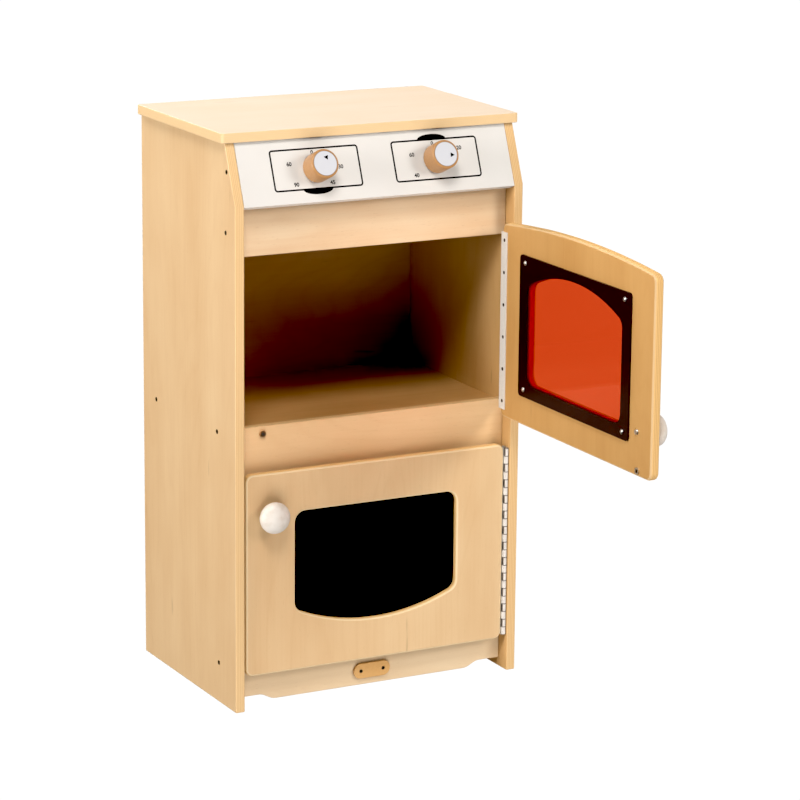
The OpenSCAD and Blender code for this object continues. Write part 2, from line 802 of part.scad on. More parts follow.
module upper_window_frame() {
    color("#141214") at_hinge(upper_open) in_upper_window() window_frame(upper_window_h);
}

module upper_window_pane() {
    color("#d04a14", 0.8) at_hinge(upper_open) in_upper_window() window_pane(upper_window_h);
}

module upper_window_screws() {
    color(bright_steel) at_hinge(upper_open)
        in_upper_window() at_frame_screws(upper_window_h) dome_screw(frame_screw_l);
}

module upper_door_leaf() color(hinge_white) at_hinge(upper_open) door_leaf(upper_knuckles, upper_hinge_z);

module upper_door_leaf_screws() {
    color(dark_steel) at_hinge(upper_open)
        at_door_leaf_screws(upper_knuckles, upper_hinge_z) small_screw();
}

module upper_door_knob() color(laminate) at_hinge(upper_open) at_knob(upper_knob_z) door_knob();
module upper_knob_screw() color(bright_steel) at_hinge(upper_open) at_knob(upper_knob_z) knob_screw();
module upper_strike() color(bright_steel) at_hinge(upper_open) at_strike(upper_strike_z) strike();

module upper_strike_screw() {
    color(dark_steel) at_hinge(upper_open)
        at_strike(upper_strike_z) translate([0, 0, strike_t]) small_screw();
}

// Lower door, drawn closed.
module lower_door_board() {
    color(birch) at_hinge(0) difference() {
        door_board(lower_knob_z, lower_strike_z, lower_knuckles, lower_hinge_z)
            translate([door_mid_x, 0, lower_door_z]) upright(0, door_t)
                polygon(rounded(door_w, lower_door_h, door_corner_r));
        in_lower_window() window_holes(lower_window_h);
    }
}

module lower_window_frame() color("#141214") at_hinge(0) in_lower_window() window_frame(lower_window_h);
module lower_window_pane() color("#0c0a0c") at_hinge(0) in_lower_window() window_pane(lower_window_h);

module lower_window_screws() {
    color(bright_steel) at_hinge(0)
        in_lower_window() at_frame_screws(lower_window_h) dome_screw(frame_screw_l);
}

module lower_door_leaf() color(hinge_white) at_hinge(0) door_leaf(lower_knuckles, lower_hinge_z);

module lower_door_leaf_screws() {
    color(dark_steel) at_hinge(0) at_door_leaf_screws(lower_knuckles, lower_hinge_z) small_screw();
}

module lower_door_knob() color(laminate) at_hinge(0) at_knob(lower_knob_z) door_knob();
module lower_knob_screw() color(bright_steel) at_hinge(0) at_knob(lower_knob_z) knob_screw();
module lower_strike() color(bright_steel) at_hinge(0) at_strike(lower_strike_z) strike();

module lower_strike_screw() {
    color(dark_steel) at_hinge(0) at_strike(lower_strike_z) translate([0, 0, strike_t]) small_screw();
}

// Dials: the washer's on the left, the dryer's on the right.
module washer_dial() color("#d68f4e") at_dial(-1) dial();
module washer_dial_face() color(laminate) at_dial(-1) dial_face();
module dryer_dial() color("#d68f4e") at_dial(1) dial();
module dryer_dial_face() color(laminate) at_dial(1) dial_face();

left_side_panel();
right_side_panel();
top_panel();
back_panel();
header_rail();
mid_rail();
toe_kick();
upper_shelf();
lower_shelf();
control_panel();
badge();
badge_screws();
top_dowels();
left_side_screws();
right_side_screws();
back_panel_screws();
dial_bolts();
dial_washers();
dial_nuts();
catch_magnets();
catch_screws();
upper_side_leaf();
upper_side_leaf_screws();
upper_hinge_pin();
lower_side_leaf();
lower_side_leaf_screws();
lower_hinge_pin();
upper_door_board();
upper_window_frame();
upper_window_pane();
upper_window_screws();
upper_door_leaf();
upper_door_leaf_screws();
upper_door_knob();
upper_knob_screw();
upper_strike();
upper_strike_screw();
lower_door_board();
lower_window_frame();
lower_window_pane();
lower_window_screws();
lower_door_leaf();
lower_door_leaf_screws();
lower_door_knob();
lower_knob_screw();
lower_strike();
lower_strike_screw();
washer_dial();
washer_dial_face();
dryer_dial();
dryer_dial_face();
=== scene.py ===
# %% [markdown]
# # A child's wooden laundry cabinet
#
# The solids come from the CAD model: every board, hinge leaf and screw is already in its place.
# Blender adds what makes them look real: eased board edges, birch veneer, lacquer, paint,
# acrylic, the print on the control panel, a studio and a camera.
# All lengths are in metres, X runs to the right, Y to the back and Z up.

# %% Load the solids
import json
import math

import bmesh
import bpy
from mathutils import Matrix, Vector

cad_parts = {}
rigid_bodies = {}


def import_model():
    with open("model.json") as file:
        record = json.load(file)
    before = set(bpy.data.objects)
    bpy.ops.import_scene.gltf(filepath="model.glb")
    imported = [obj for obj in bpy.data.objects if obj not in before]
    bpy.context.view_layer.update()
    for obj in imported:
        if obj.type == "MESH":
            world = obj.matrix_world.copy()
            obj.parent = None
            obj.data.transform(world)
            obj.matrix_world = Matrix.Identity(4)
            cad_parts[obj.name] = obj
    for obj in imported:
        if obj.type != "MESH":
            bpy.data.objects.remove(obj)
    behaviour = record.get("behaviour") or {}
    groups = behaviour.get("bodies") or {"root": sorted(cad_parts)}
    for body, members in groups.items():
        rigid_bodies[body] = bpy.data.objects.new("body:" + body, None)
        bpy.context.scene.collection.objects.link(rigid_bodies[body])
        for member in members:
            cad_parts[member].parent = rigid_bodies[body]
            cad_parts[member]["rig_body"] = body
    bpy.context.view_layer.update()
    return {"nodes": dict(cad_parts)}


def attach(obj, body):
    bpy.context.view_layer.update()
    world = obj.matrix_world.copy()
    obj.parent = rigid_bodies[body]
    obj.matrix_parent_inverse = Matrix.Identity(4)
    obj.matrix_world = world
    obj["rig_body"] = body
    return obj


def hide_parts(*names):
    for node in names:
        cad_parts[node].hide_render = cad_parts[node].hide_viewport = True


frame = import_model()
solids = frame["nodes"]
MM = 0.001
X, Y, Z = Vector((1, 0, 0)), Vector((0, 1, 0)), Vector((0, 0, 1))


# %% Put new objects in the scene
def put(name, data):
    """A new object that shows the data: a mesh, a curve, a lamp or a camera."""
    made = bpy.data.objects.new(name, data)
    bpy.context.scene.collection.objects.link(made)
    return made


def put_mesh(name, mesh):
    shape = bpy.data.meshes.new(name)
    mesh.to_mesh(shape)
    mesh.free()
    return put(name, shape)


print("one call makes an object and links it")

# %% [markdown]
# ## Shader maths in plain Python
#
# A shader is a graph of nodes, and building one link at a time hides what it computes.
# `Value` wraps one output socket, so `a * 0.5 + b` adds the Math nodes by itself.
# `Finish` is one material; its `node` method adds any other kind of node.
# The other way is to write the links one by one, which takes five lines for every sum.

# %% A socket that can be added and multiplied
class Value:
    def __init__(self, finish, socket):
        self.finish = finish
        self.socket = socket

    def maths(self, operation, *inputs):
        return self.finish.node("ShaderNodeMath", {"operation": operation}, inputs)

    def __add__(self, other):
        return self.maths("ADD", self, other)

    def __sub__(self, other):
        return self.maths("SUBTRACT", self, other)

    def __rsub__(self, other):
        return self.maths("SUBTRACT", other, self)

    def __mul__(self, other):
        return self.maths("MULTIPLY", self, other)

    def __truediv__(self, other):
        return self.maths("DIVIDE", self, other)

    __radd__ = __add__
    __rmul__ = __mul__

    def size(self):
        return self.maths("ABSOLUTE", self)

    def root(self):
        return self.maths("SQRT", self)

    def part(self):
        """What is left above the whole number below."""
        return self.maths("FRACT", self)

    def larger(self, other):
        return self.maths("MAXIMUM", self, other)

    def from_middle(self):
        """0 in the middle of each whole step, 1 at its two ends."""
        return (self.part() * 2 - 1).size()

    def every_second(self):
        """1 on every second whole step, 0 on the steps between."""
        return self.maths("GREATER_THAN", (self * 0.5).part(), 0.5)

    def ramp(self, low, high):
        """0 below low, 1 above high, and a smooth step between them."""
        settings = {"interpolation_type": "SMOOTHSTEP"}
        return self.finish.node("ShaderNodeMapRange", settings, {0: self, 1: low, 2: high})


print("a Value is one socket")


# %% One material and its nodes
def shade(red, green, blue):
    """A colour given on a 0 to 255 scale, turned into the light values Blender works in."""
    def lit(level):
        level = level / 255
        return level / 12.92 if level <= 0.04045 else ((level + 0.055) / 1.055) ** 2.4
    return (lit(red), lit(green), lit(blue), 1.0)


class Finish:
    def __init__(self, name, colour, roughness, **constants):
        self.material = bpy.data.materials.new(name)
        self.material.use_nodes = True
        self.tree = self.material.node_tree
        self.shader = self.tree.nodes["Principled BSDF"]
        self.set("Base Color", colour)
        self.set("Roughness", roughness)
        for socket, value in constants.items():
            self.set(socket.replace("_", " "), value)

    def set(self, socket, value):
        self.join(self.shader.inputs[socket], value)

    def join(self, socket, value):
        if isinstance(value, Value):
            self.tree.links.new(value.socket, socket)
        else:
            socket.default_value = value

    def node(self, kind, settings=None, inputs=(), output=0):
        made = self.tree.nodes.new(kind)
        for name, value in (settings or {}).items():
            setattr(made, name, value)
        pairs = inputs.items() if isinstance(inputs, dict) else enumerate(inputs)
        for socket, value in pairs:
            self.join(made.inputs[socket], value)
        return Value(self, made.outputs[output])

    def place(self, output="Object"):
        return self.node("ShaderNodeTexCoord", output=output)

    def along(self, vector, direction):
        settings = {"operation": "DOT_PRODUCT"}
        return self.node("ShaderNodeVectorMath", settings, [vector, direction], "Value")

    def noise(self, place, detail, roughness=0.5):
        inputs = {"Vector": place, "Scale": 1.0, "Detail": detail, "Roughness": roughness}
        return self.node("ShaderNodeTexNoise", inputs=inputs)

    def long_noise(self, point, detail, roughness=0.5):
        """Noise with a scale of its own for each direction, so that it can run along a grain."""
        return self.noise(self.node("ShaderNodeCombineXYZ", inputs=point), detail, roughness)

    def even_noise(self, scale, detail, roughness=0.5):
        """Noise with the same scale in every direction."""
        settings = {"operation": "SCALE"}
        scaled = self.node("ShaderNodeVectorMath", settings, {0: self.place(), 3: scale})
        return self.noise(scaled, detail, roughness)

    def mix(self, amount, first, second):
        return self.node("ShaderNodeMix", {"data_type": "RGBA"}, {0: amount, 6: first, 7: second}, 2)

    def bump(self, height, strength, distance):
        inputs = {"Strength": strength, "Distance": distance, "Height": height}
        self.set("Normal", self.node("ShaderNodeBump", inputs=inputs))


print("a Finish is one material")

# %% [markdown]
# ## The camera
#
# The viewing angle was worked out from the cabinet's straight edges: a long lens, about five
# metres away, turned 29 degrees to the right and tipped 13 degrees down.
# The lens is shifted a little, because the cabinet doesn't sit in the middle of the frame.

# %% Place the camera
TURN = math.radians(28.6115)
TIP = math.radians(-13.1918)
LEAN = math.radians(0.7447)
STAND = (-2.23447, -4.48270, 1.64815)
LENS_PIXELS = 3327.93
FRAME_PIXELS = 800
SIDE_PIXELS = -50.0
UP_PIXELS = -32.0
SENSOR = 36.0
FARTHEST = 100

ahead = Vector((math.sin(TURN) * math.cos(TIP), math.cos(TURN) * math.cos(TIP), math.sin(TIP)))
level = ahead.cross(Z).normalized()
upright = level.cross(ahead)
right = level * math.cos(LEAN) + upright * math.sin(LEAN)
up = upright * math.cos(LEAN) - level * math.sin(LEAN)

camera = put("studio_camera", bpy.data.cameras.new("studio_camera"))
camera.matrix_world = Matrix((right, up, -ahead)).transposed().to_4x4()
camera.location = STAND
camera.data.sensor_width = SENSOR
camera.data.lens = LENS_PIXELS * SENSOR / FRAME_PIXELS
camera.data.shift_x = SIDE_PIXELS / FRAME_PIXELS
camera.data.shift_y = UP_PIXELS / FRAME_PIXELS
camera.data.clip_end = FARTHEST
bpy.context.scene.camera = camera
print("lens", round(camera.data.lens, 1), "mm")

# %% [markdown]
# ## The studio
#
# Catalogue pictures of furniture are taken on a white sweep that has lamps of its own, so the
# background is white whatever lights the cabinet. Here the floor and the wall glow by
# themselves, and their ray switches keep that glow off the cabinet.
# The other way is a very bright room, but then the open compartment would lose its depth: its
# dark back is what shows that it is open. For the same reason light bounces only once, and
# the darkest tones are pulled down to black.

# %% White sweep
DARKEST = 0.026
GLOW = 1.03
FLOOR_REACH = 30
WALL_REACH = 28
WHITE = (1.0, 1.0, 1.0, 1.0)
BLACK = (0.0, 0.0, 0.0, 1.0)

view = bpy.context.scene.view_settings
view.view_transform = "Standard"
view.use_curve_mapping = True
view.curve_mapping.black_level = (DARKEST, DARKEST, DARKEST)
view.curve_mapping.update()
bpy.context.scene.cycles.diffuse_bounces = 1


def backdrop(name, mesh):
    made = put_mesh(name, mesh)
    paper = Finish(name + "_paper", BLACK, 0.9, Emission_Color=WHITE, Emission_Strength=GLOW)
    paper.set("Specular IOR Level", 0.0)
    made.data.materials.append(paper.material)
    made.visible_diffuse = False
    made.visible_glossy = False
    made.visible_shadow = False


floor = bmesh.new()
bmesh.ops.create_grid(floor, x_segments=1, y_segments=1, size=FLOOR_REACH)
backdrop("studio_floor", floor)
wall = bmesh.new()
bmesh.ops.create_icosphere(wall, subdivisions=4, radius=WALL_REACH)
backdrop("studio_wall", wall)

# %% [markdown]
# ## The lamps
#
# Area lamps light the cabinet, because they give soft shadow edges where a sun gives hard ones.
# Four come from the camera's side, one of them from below, like light thrown back by a white
# floor. The right and the rear lamp are for the sides that the camera doesn't see, which would
# be nearly black in other views.
# A lamp that is mirrored in lacquer or acrylic draws a white spot. Only the left and the front
# lamp may do that: the others light the surfaces, but no reflection shows them.

# %% Lamps
MIDDLE = (0, -0.1, 0.45)
FAINT = 0.03


def lamp(name, place, target, size, power, colour=(1, 1, 1), mirrored=True):
    light = bpy.data.lights.new(name, "AREA")
    light.shape = "DISK"
    light.size = size
    light.energy = power
    light.color = colour
    made = put(name, light)
    made.location = place
    made.rotation_euler = (Vector(target) - Vector(place)).to_track_quat("-Z", "Y").to_euler()
    made.visible_glossy = mirrored


# place, what the lamp points at, its width in metres, watts and colour
lamp("key_lamp", (2.09, -2.58, 1.96), MIDDLE, 1.3, 56, (1.0, 0.985, 0.96), mirrored=False)
lamp("left_lamp", (-3.30, -0.45, 1.25), MIDDLE, 1.2, 85, (1.0, 0.98, 0.955))
lamp("right_lamp", (3.20, 0.95, 1.30), (0, 0, 0.45), 1.2, 84, (1.0, 0.98, 0.955), mirrored=False)
lamp("rear_lamp", (-0.64, 2.40, 2.52), (0, 0, 0.6), 1.6, 100, (1.0, 0.98, 0.96), mirrored=False)
lamp("front_lamp", (-0.98, -1.80, 3.24), MIDDLE, 1.2, 60, (1.0, 0.98, 0.95))
lamp("bounce_lamp", (-0.50, -2.90, -2.10), (0, -0.1, 0.4), 4.6, 124, mirrored=False)

world = bpy.data.worlds.new("white_room")
bpy.context.scene.world = world
world.use_nodes = True
world.node_tree.nodes["Background"].inputs["Color"].default_value = (1.0, 0.995, 0.99, 1)
world.node_tree.nodes["Background"].inputs["Strength"].default_value = FAINT

# %% [markdown]
# ## Eased edges
#
# A board for children never keeps a sharp arris: a router or sandpaper rounds it, and that
# thin rounded line catches the light all round the cabinet.
# The solids have sharp edges. A Bevel modifier would round the screw holes too, so each board
# is rebuilt from its solid: the triangles of a flat face are joined, the outer edges are
# found, and only those are bevelled.

# %% Find the outer edges of a board
SHARP = math.radians(35)
HOLE = 22 * MM


def outlines(mesh):
    """The convex sharp edges, in the groups that touch each other."""
    def outer(edge):
        return len(edge.link_faces) == 2 and edge.is_convex and edge.calc_face_angle() > SHARP
    left = {edge for edge in mesh.edges if outer(edge)}
    while left:
        group, front = set(), [left.pop()]
        while front:
            edge = front.pop()
            group.add(edge)
            near = {e for v in edge.verts for e in v.link_edges} & left
            left -= near
            front.extend(near)
        yield group


def span(group):
    points = [v.co for edge in group for v in edge.verts]
    low = Vector(map(min, *points))
    return (Vector(map(max, *points)) - low).length


print("outlines up to", round(HOLE / MM), "mm long are holes")

# %% Round the outer edges
SAME_POINT = 1e-6
FLAT = math.radians(1)


def eased(node, radius, steps):
    """A copy of a solid with its outer edges rounded; the solid itself stays hidden under it."""
    mesh = bmesh.new()
    mesh.from_mesh(solids[node].data)
    bmesh.ops.remove_doubles(mesh, verts=mesh.verts, dist=SAME_POINT)
    bmesh.ops.dissolve_limit(mesh, angle_limit=FLAT, verts=mesh.verts, edges=mesh.edges)
    arris = [edge for group in outlines(mesh) if span(group) > HOLE for edge in group]
    bmesh.ops.bevel(mesh, geom=arris, offset=radius, segments=steps, profile=0.5, affect="EDGES")
    for face in mesh.faces:
        face.smooth = True
    for edge in mesh.edges:
        edge.smooth = not (len(edge.link_faces) == 2 and edge.calc_face_angle() > SHARP)
    made = put_mesh(node + "_eased", mesh)
    normals = made.modifiers.new("flat_faces", "WEIGHTED_NORMAL")
    normals.keep_sharp = True
    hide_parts(node)
    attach(made, solids[node]["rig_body"])
    return made


# radius in millimetres, steps round the edge, boards
ROUNDINGS = (
    (1.6, 3, ("left_side_panel", "right_side_panel", "mid_rail", "header_rail", "toe_kick")),
    (1.3, 3, ("top_panel",)),
    (0.7, 2, ("control_panel",)),
    (1.0, 3, ("badge",)),
    (4.0, 3, ("upper_door_board", "lower_door_board")),
)
boards = {}
for radius, steps, names in ROUNDINGS:
    for name in names:
        boards[name] = eased(name, radius * MM, steps)
print({name: len(made.data.polygons) for name, made in boards.items()})

# %% [markdown]
# ## Birch plywood
#
# Each board is a stack of thin layers with a clear lacquer. Its two faces show one broad leaf
# of veneer: long pale bands, fine streaks, short dark flecks and here and there a darker line.
# Its edges show the stack. Which of the two a point shows follows from the direction of the
# surface: along the board's thickness it is a face, across it an edge. Where the router has
# rounded a door's edge, it has cut through the veneer to the paler layer under it. That pale
# band is partly this layer and partly a painted highlight along the rounded edge.
# A texture picture would need a wrap for every board; these patterns are worked out from the
# point's own place, so they run through the board like real wood.

# %% The veneer of a board's two faces
FLECK = shade(168, 118, 66)
SCAR = shade(122, 82, 44)
RINGS = 26


def veneer(wood, u, v, w, pale, deep, seed, figure):
    """The face's colour, its streaks and its flecks; u runs along the grain, w through the board.

    The number beside u, v or w is how often a pattern changes in a metre of that direction.
    The rings are contour lines of a slow noise, as the year rings of a peeled log are.
    The factors in tone are how much each pattern deepens the colour, which is pale up to 0.42.
    """
    bands = wood.long_noise((u * 1.3 + seed, v * 16, w * 2 + seed), 3)
    cloud = wood.long_noise((u * 7 + seed, v * 13, w * 4 - seed), 2)
    streaks = wood.long_noise((u * 6, v * 260 + seed, w * 30), 4, 0.65)
    rings = (wood.long_noise((u * 0.9 - seed, v * 5, w * 3), 3, 0.4) * RINGS).from_middle()
    flecks = wood.long_noise((u * 90, v * 900 + seed, w * 60), 1).ramp(0.66, 0.78)
    scars = wood.long_noise((u * 9 + 3 * seed, v * 70, w * 9), 2, 0.4).ramp(0.72, 0.80)
    tone = bands * 0.8 + cloud * 0.65 + (streaks - 0.5) * 0.26 + rings.ramp(0.55, 1.0) * 0.07
    face = wood.mix((tone - 0.42) * figure, pale, deep)
    face = wood.mix(flecks * (0.16 * figure), face, FLECK)
    face = wood.mix(scars * 0.30 * figure, face, SCAR)
    return face, streaks, flecks


print("veneer ready")

# %% The stack of layers in its edges
BOARD = 15 * MM
LAYERS = 11
GLUE = shade(150, 100, 52)
EDGE = shade(244, 208, 156)
DOOR_EDGE = shade(250, 206, 142)


def layered(wood, u, v, w, start, edge, deep):
    """The stack's colour and its glue lines; the layers are counted from start."""
    layer = (w - start) / (BOARD / LAYERS)
    glue = layer.from_middle().ramp(0.80, 1.0)
    pores = wood.long_noise((u * 700, v * 700, w * 900), 2, 0.6)
    stack = wood.mix(layer.every_second() * 0.34 + pores * 0.22, edge, deep)
    return wood.mix(glue * 0.26, stack, GLUE), glue


print("layers of", round(BOARD / LAYERS / MM, 2), "mm")

# %% The plywood finish
# the pale layer under the veneer, also used as a painted highlight on rounded door edges
UNDER_VENEER_AND_HIGHLIGHT = shade(253, 230, 188)


def plywood(name, thick, grain, start, seed, figure, pale, deep, edge=EDGE, cut_and_highlight=0.0):
    wood = Finish(name, pale, 0.46, Coat_Weight=0.12, Coat_Roughness=0.34, Specular_IOR_Level=0.3)
    place = wood.place()
    u, v, w = [wood.along(place, axis) for axis in (grain, thick.cross(grain), thick)]
    face, streaks, flecks = veneer(wood, u, v, w, pale, deep, seed, figure)
    stack, glue = layered(wood, u, v, w, start, edge, deep)
    # 1 on a face, 0 on an edge, and in between round an eased arris
    facing = wood.along(wood.place("Normal"), thick).size()
    is_face = facing.ramp(0.50, 0.80)
    is_edge = 1 - is_face
    # the pale band round a door's eased edge: the layer under the veneer, and a painted highlight
    pale_band_and_highlight = facing.ramp(0.30, 0.60) * (1 - facing.ramp(0.92, 0.985)) * cut_and_highlight
    wood.set("Base Color", wood.mix(pale_band_and_highlight, wood.mix(is_face, stack, face), UNDER_VENEER_AND_HIGHLIGHT))
    wood.set("Roughness", 0.36 + streaks * 0.14 + is_edge * 0.08)
    wood.bump(streaks * is_face + glue * -0.6 * is_edge - flecks * 0.5, 0.10, 0.15 * MM)
    return wood.material


def dress(node, material):
    made = boards.get(node, solids[node])
    made.data.materials.clear()
    made.data.materials.append(material)


print("plywood ready")

# %% Veneer for each board
# where a board's layers are counted from, along its thickness
SIDE = -240 * MM
TOP = 860 * MM
RAIL = -145 * MM
SHELF = 414 * MM
BACK = 165 * MM
CLOSED_DOOR = -165 * MM
OPEN_DOOR = 206.5 * MM

# boards, finish, through the board, along the grain, first layer, seed, figure, pale, deep
VENEERS = (
    ("left_side_panel", "side_veneer_left", X, Z, SIDE, 3.1, 0.75, (237, 204, 160), (210, 164, 114)),
    # the right side's deeper, more golden tone is painted shade: the warm shade on its inner face inside
    # the compartment, given to the whole board
    ("right_side_panel", "side_veneer_right", X, Z, SIDE, 7.7, 0.75, (234, 190, 134), (208, 152, 92)),
    # the top's veneer is paler than the sides': painted light of the top, which catches more of the
    # lamps
    ("top_panel", "top_veneer", Z, X, TOP, 1.9, 0.6, (247, 229, 208), (238, 208, 170)),
    ("header_rail", "header_veneer", Y, X, RAIL, 4.3, 1.25, (244, 217, 182), (224, 177, 132)),
    ("mid_rail", "rail_veneer", Y, X, RAIL, 9.2, 0.9, (250, 210, 162), (226, 174, 120)),
    ("toe_kick", "toe_veneer", Y, X, RAIL, 5.6, 0.9, (246, 219, 182), (226, 190, 148)),
    # the shelves and the back are deeper in tone than the other boards: painted shade of the
    # compartment's inside, on the whole board
    ("upper_shelf lower_shelf", "shelf_veneer", Z, X, SHELF, 2.4, 0.8, (214, 168, 116), (184, 134, 82)),
    ("back_panel", "back_veneer", Y, X, BACK, 6.5, 1.0, (214, 168, 116), (184, 134, 82)),
)
for nodes, name, thick, grain, start, seed, figure, pale, deep in VENEERS:
    board_wood = plywood(name, thick, grain, start, seed, figure, shade(*pale), shade(*deep))
    for node in nodes.split():
        dress(node, board_wood)
print(len(VENEERS), "veneers on the cabinet")

# %% Veneer for the doors
GOLD, GOLD_DEEP = shade(236, 202, 158), shade(210, 163, 112)
AMBER, AMBER_DEEP = shade(212, 166, 108), shade(188, 134, 76)
closed_wood = plywood("lower_door_veneer", Y, Z, CLOSED_DOOR, 8.8, 0.8, GOLD, GOLD_DEEP, DOOR_EDGE, 0.62)
open_wood = plywood("upper_door_veneer", X, Z, OPEN_DOOR, 1.2, 0.8, AMBER, AMBER_DEEP, DOOR_EDGE, 0.35)
dress("lower_door_board", closed_wood)
dress("upper_door_board", open_wood)
print(len(bpy.data.materials), "finishes so far")

# %% [markdown]
# ## The control panel's white face
#
# The sloping board is covered with white laminate, its long edges too. Only its ends are bare,
# and they are hidden between the side panels, so one finish is enough for the whole board.
# Laminate has a very fine orange-peel texture, which breaks up the reflections.

# %% White laminate
laminate = Finish("panel_laminate", shade(231, 226, 219), 0.34, Specular_IOR_Level=0.45)
peel = laminate.even_noise(1500, 2)
clouds = laminate.even_noise(14, 3)
laminate.set("Base Color", laminate.mix(clouds, shade(234, 230, 225), shade(228, 223, 217)))
laminate.set("Roughness", 0.30 + clouds * 0.08)
laminate.bump(peel, 0.06, 0.05 * MM)
dress("control_panel", laminate.material)
print("control panel dressed")

# %% [markdown]
# ## Turned dials and their white discs
#
# The dials are turned from solid wood, so the grain runs along the axis. The discs are plain
# white plastic. The thin dark line along a disc's edge is painted shade, the shadow in the gap
# between disc and dial: it is drawn by the distance from the dial's centre, measured on the
# slope of the panel.

# %% The slope of the control panel
SLOPE_BACK, SLOPE_RISE = 36, 89
SLOPE = math.atan2(SLOPE_BACK, SLOPE_RISE)
SLOPE_OUT = Vector((0, -math.cos(SLOPE), math.sin(SLOPE)))
SLOPE_UP = Vector((0, math.sin(SLOPE), math.cos(SLOPE)))
SLOPE_FOOT = Vector((0, -0.170, 0.771))
DIAL_ASIDE = 100
DIAL_RISE = 48.5
print("the panel leans back", round(math.degrees(SLOPE), 1), "degrees")


# %% Solid wood
def solid_wood(name, grain, pale, deep, seed):
    wood = Finish(name, pale, 0.40, Coat_Weight=0.25, Coat_Roughness=0.25)
    u = wood.along(wood.place(), grain)
    line = wood.even_noise(420, 3, 0.6)
    slow = wood.long_noise((u * 30 + seed, u * 12, seed), 2)
    wood.set("Base Color", wood.mix(line * 0.55 + slow * 0.35, pale, deep))
    wood.set("Roughness", 0.35 + line * 0.12)
    wood.bump(line, 0.08, 0.1 * MM)
    return wood.material


dial_wood = solid_wood("dial_wood", SLOPE_OUT, shade(200, 154, 106), shade(174, 122, 74), 2.0)
dress("badge", solid_wood("badge_wood", X, shade(238, 190, 128), shade(214, 158, 96), 5.0))
dress("top_dowels", solid_wood("dowel_wood", Z, shade(236, 200, 150), shade(206, 160, 108), 7.0))
print("dials, badge and dowels are solid wood")

# %% Disc plastic
DISC = shade(218, 218, 223)
# colour of the painted shade along a disc's edge
RIM_SHADE = shade(110, 88, 68)
RIM_SHADE_FROM, RIM_SHADE_TO = 17.8 * MM, 18.5 * MM

disc = Finish("disc_plastic", DISC, 0.30, Coat_Weight=0.15)
disc.set("Roughness", 0.26 + disc.even_noise(900, 2) * 0.10)
place = disc.place()
aside = disc.along(place, X).size() - DIAL_ASIDE * MM
rise = disc.along(place, SLOPE_UP) - SLOPE_FOOT.dot(SLOPE_UP) - DIAL_RISE * MM
off_centre = (aside * aside + rise * rise).root()
# painted shade: a dark line along the disc's edge
disc.set("Base Color", disc.mix(off_centre.ramp(RIM_SHADE_FROM, RIM_SHADE_TO) * 0.75, DISC, RIM_SHADE))
for side in ("washer", "dryer"):
    dress(side + "_dial", dial_wood)
    dress(side + "_dial_face", disc.material)

# %% [markdown]
# ## Hinges and screws
#
# A continuous hinge is folded sheet steel, powder coated white. Its knuckles are 12.5 mm long
# and belong to one leaf and the other by turns. Little light gets into the seams between them,
# or into the gap beside a knuckle of the other leaf, so shade is painted into the white there.
# The seams follow each hinge's own knuckles. The gaps are laid out for the lower hinge only,
# so on the upper hinge their shade doesn't fit its own gaps.
# The hinge's own screws are blackened steel, the window screws are bright domes. A metal's
# colour sits in its reflections, so Metallic is 1 and the variation goes into Roughness.

# %% Hinge paint
PIN = Vector((221.5, -165.0, 0)) * MM
KNUCKLE = 12.5 * MM
LOWER_HINGE = 58.5 * MM
UPPER_HINGE = 425.5 * MM
BARREL_FROM, BARREL_TO = 3.25 * MM, 3.45 * MM
GAP_SIDE_FROM, GAP_SIDE_TO = -2.9 * MM, -2.1 * MM

paint = Finish("hinge_paint", shade(244, 240, 235), 0.35, Specular_IOR_Level=0.5)
mottle = paint.even_noise(320, 3)
coat = paint.mix(mottle, shade(238, 232, 225), shade(222, 214, 205))
place = paint.place()
across = paint.along(place, X) - PIN.x
along = paint.along(place, Y) - PIN.y
barrel = 1 - (across * across + along * along).root().ramp(BARREL_FROM, BARREL_TO)
lower_knuckle = (paint.along(place, Z) - LOWER_HINGE) / KNUCKLE
upper_knuckle = (paint.along(place, Z) - UPPER_HINGE) / KNUCKLE
is_upper = upper_knuckle.ramp(-1.0, -0.5)
joint = lower_knuckle.from_middle() * (1 - is_upper) + upper_knuckle.from_middle() * is_upper
# painted shade in the seams between the knuckles and in the gaps beside them
seam_shade = joint.ramp(0.86, 0.93) * barrel
gap = (1 - across.ramp(GAP_SIDE_FROM, GAP_SIDE_TO)) * lower_knuckle.every_second() * barrel
paint.set("Base Color", paint.mix(seam_shade.larger(gap) * 0.85, coat, shade(70, 58, 48)))
paint.set("Roughness", 0.28 + mottle * 0.18)
paint.bump(mottle, 0.08, 0.1 * MM)
print("knuckles of", round(KNUCKLE / MM, 1), "mm")


# %% Steel
def steel(name, colour, rough):
    metal = Finish(name, colour, rough, Metallic=1.0)
    grain = metal.even_noise(1800, 3, 0.7)
    metal.set("Roughness", rough - 0.06 + grain * 0.14)
    metal.bump(grain, 0.05, 0.05 * MM)
    return metal.material


bright = steel("bright_steel", shade(228, 226, 222), 0.42)
black = steel("black_steel", shade(88, 74, 62), 0.42)
magnet = steel("magnet_steel", shade(232, 206, 172), 0.66)
FITTINGS = (
    (paint.material, ("_side_leaf", "_door_leaf")),
    (black, ("_side_leaf_screws", "_door_leaf_screws", "_strike_screw")),
    (bright, ("_hinge_pin", "_window_screws", "_knob_screw", "_strike")),
)
for door in ("upper", "lower"):
    for material, parts in FITTINGS:
        for part in parts:
            dress(door + part, material)
FASTENERS = "badge_screws back_panel_screws dial_bolts dial_washers dial_nuts catch_screws"
for node in FASTENERS.split():
    dress(node, bright)
dress("left_side_screws", black)
dress("right_side_screws", black)
dress("catch_magnets", magnet)
print("hinges, screws and catches dressed")

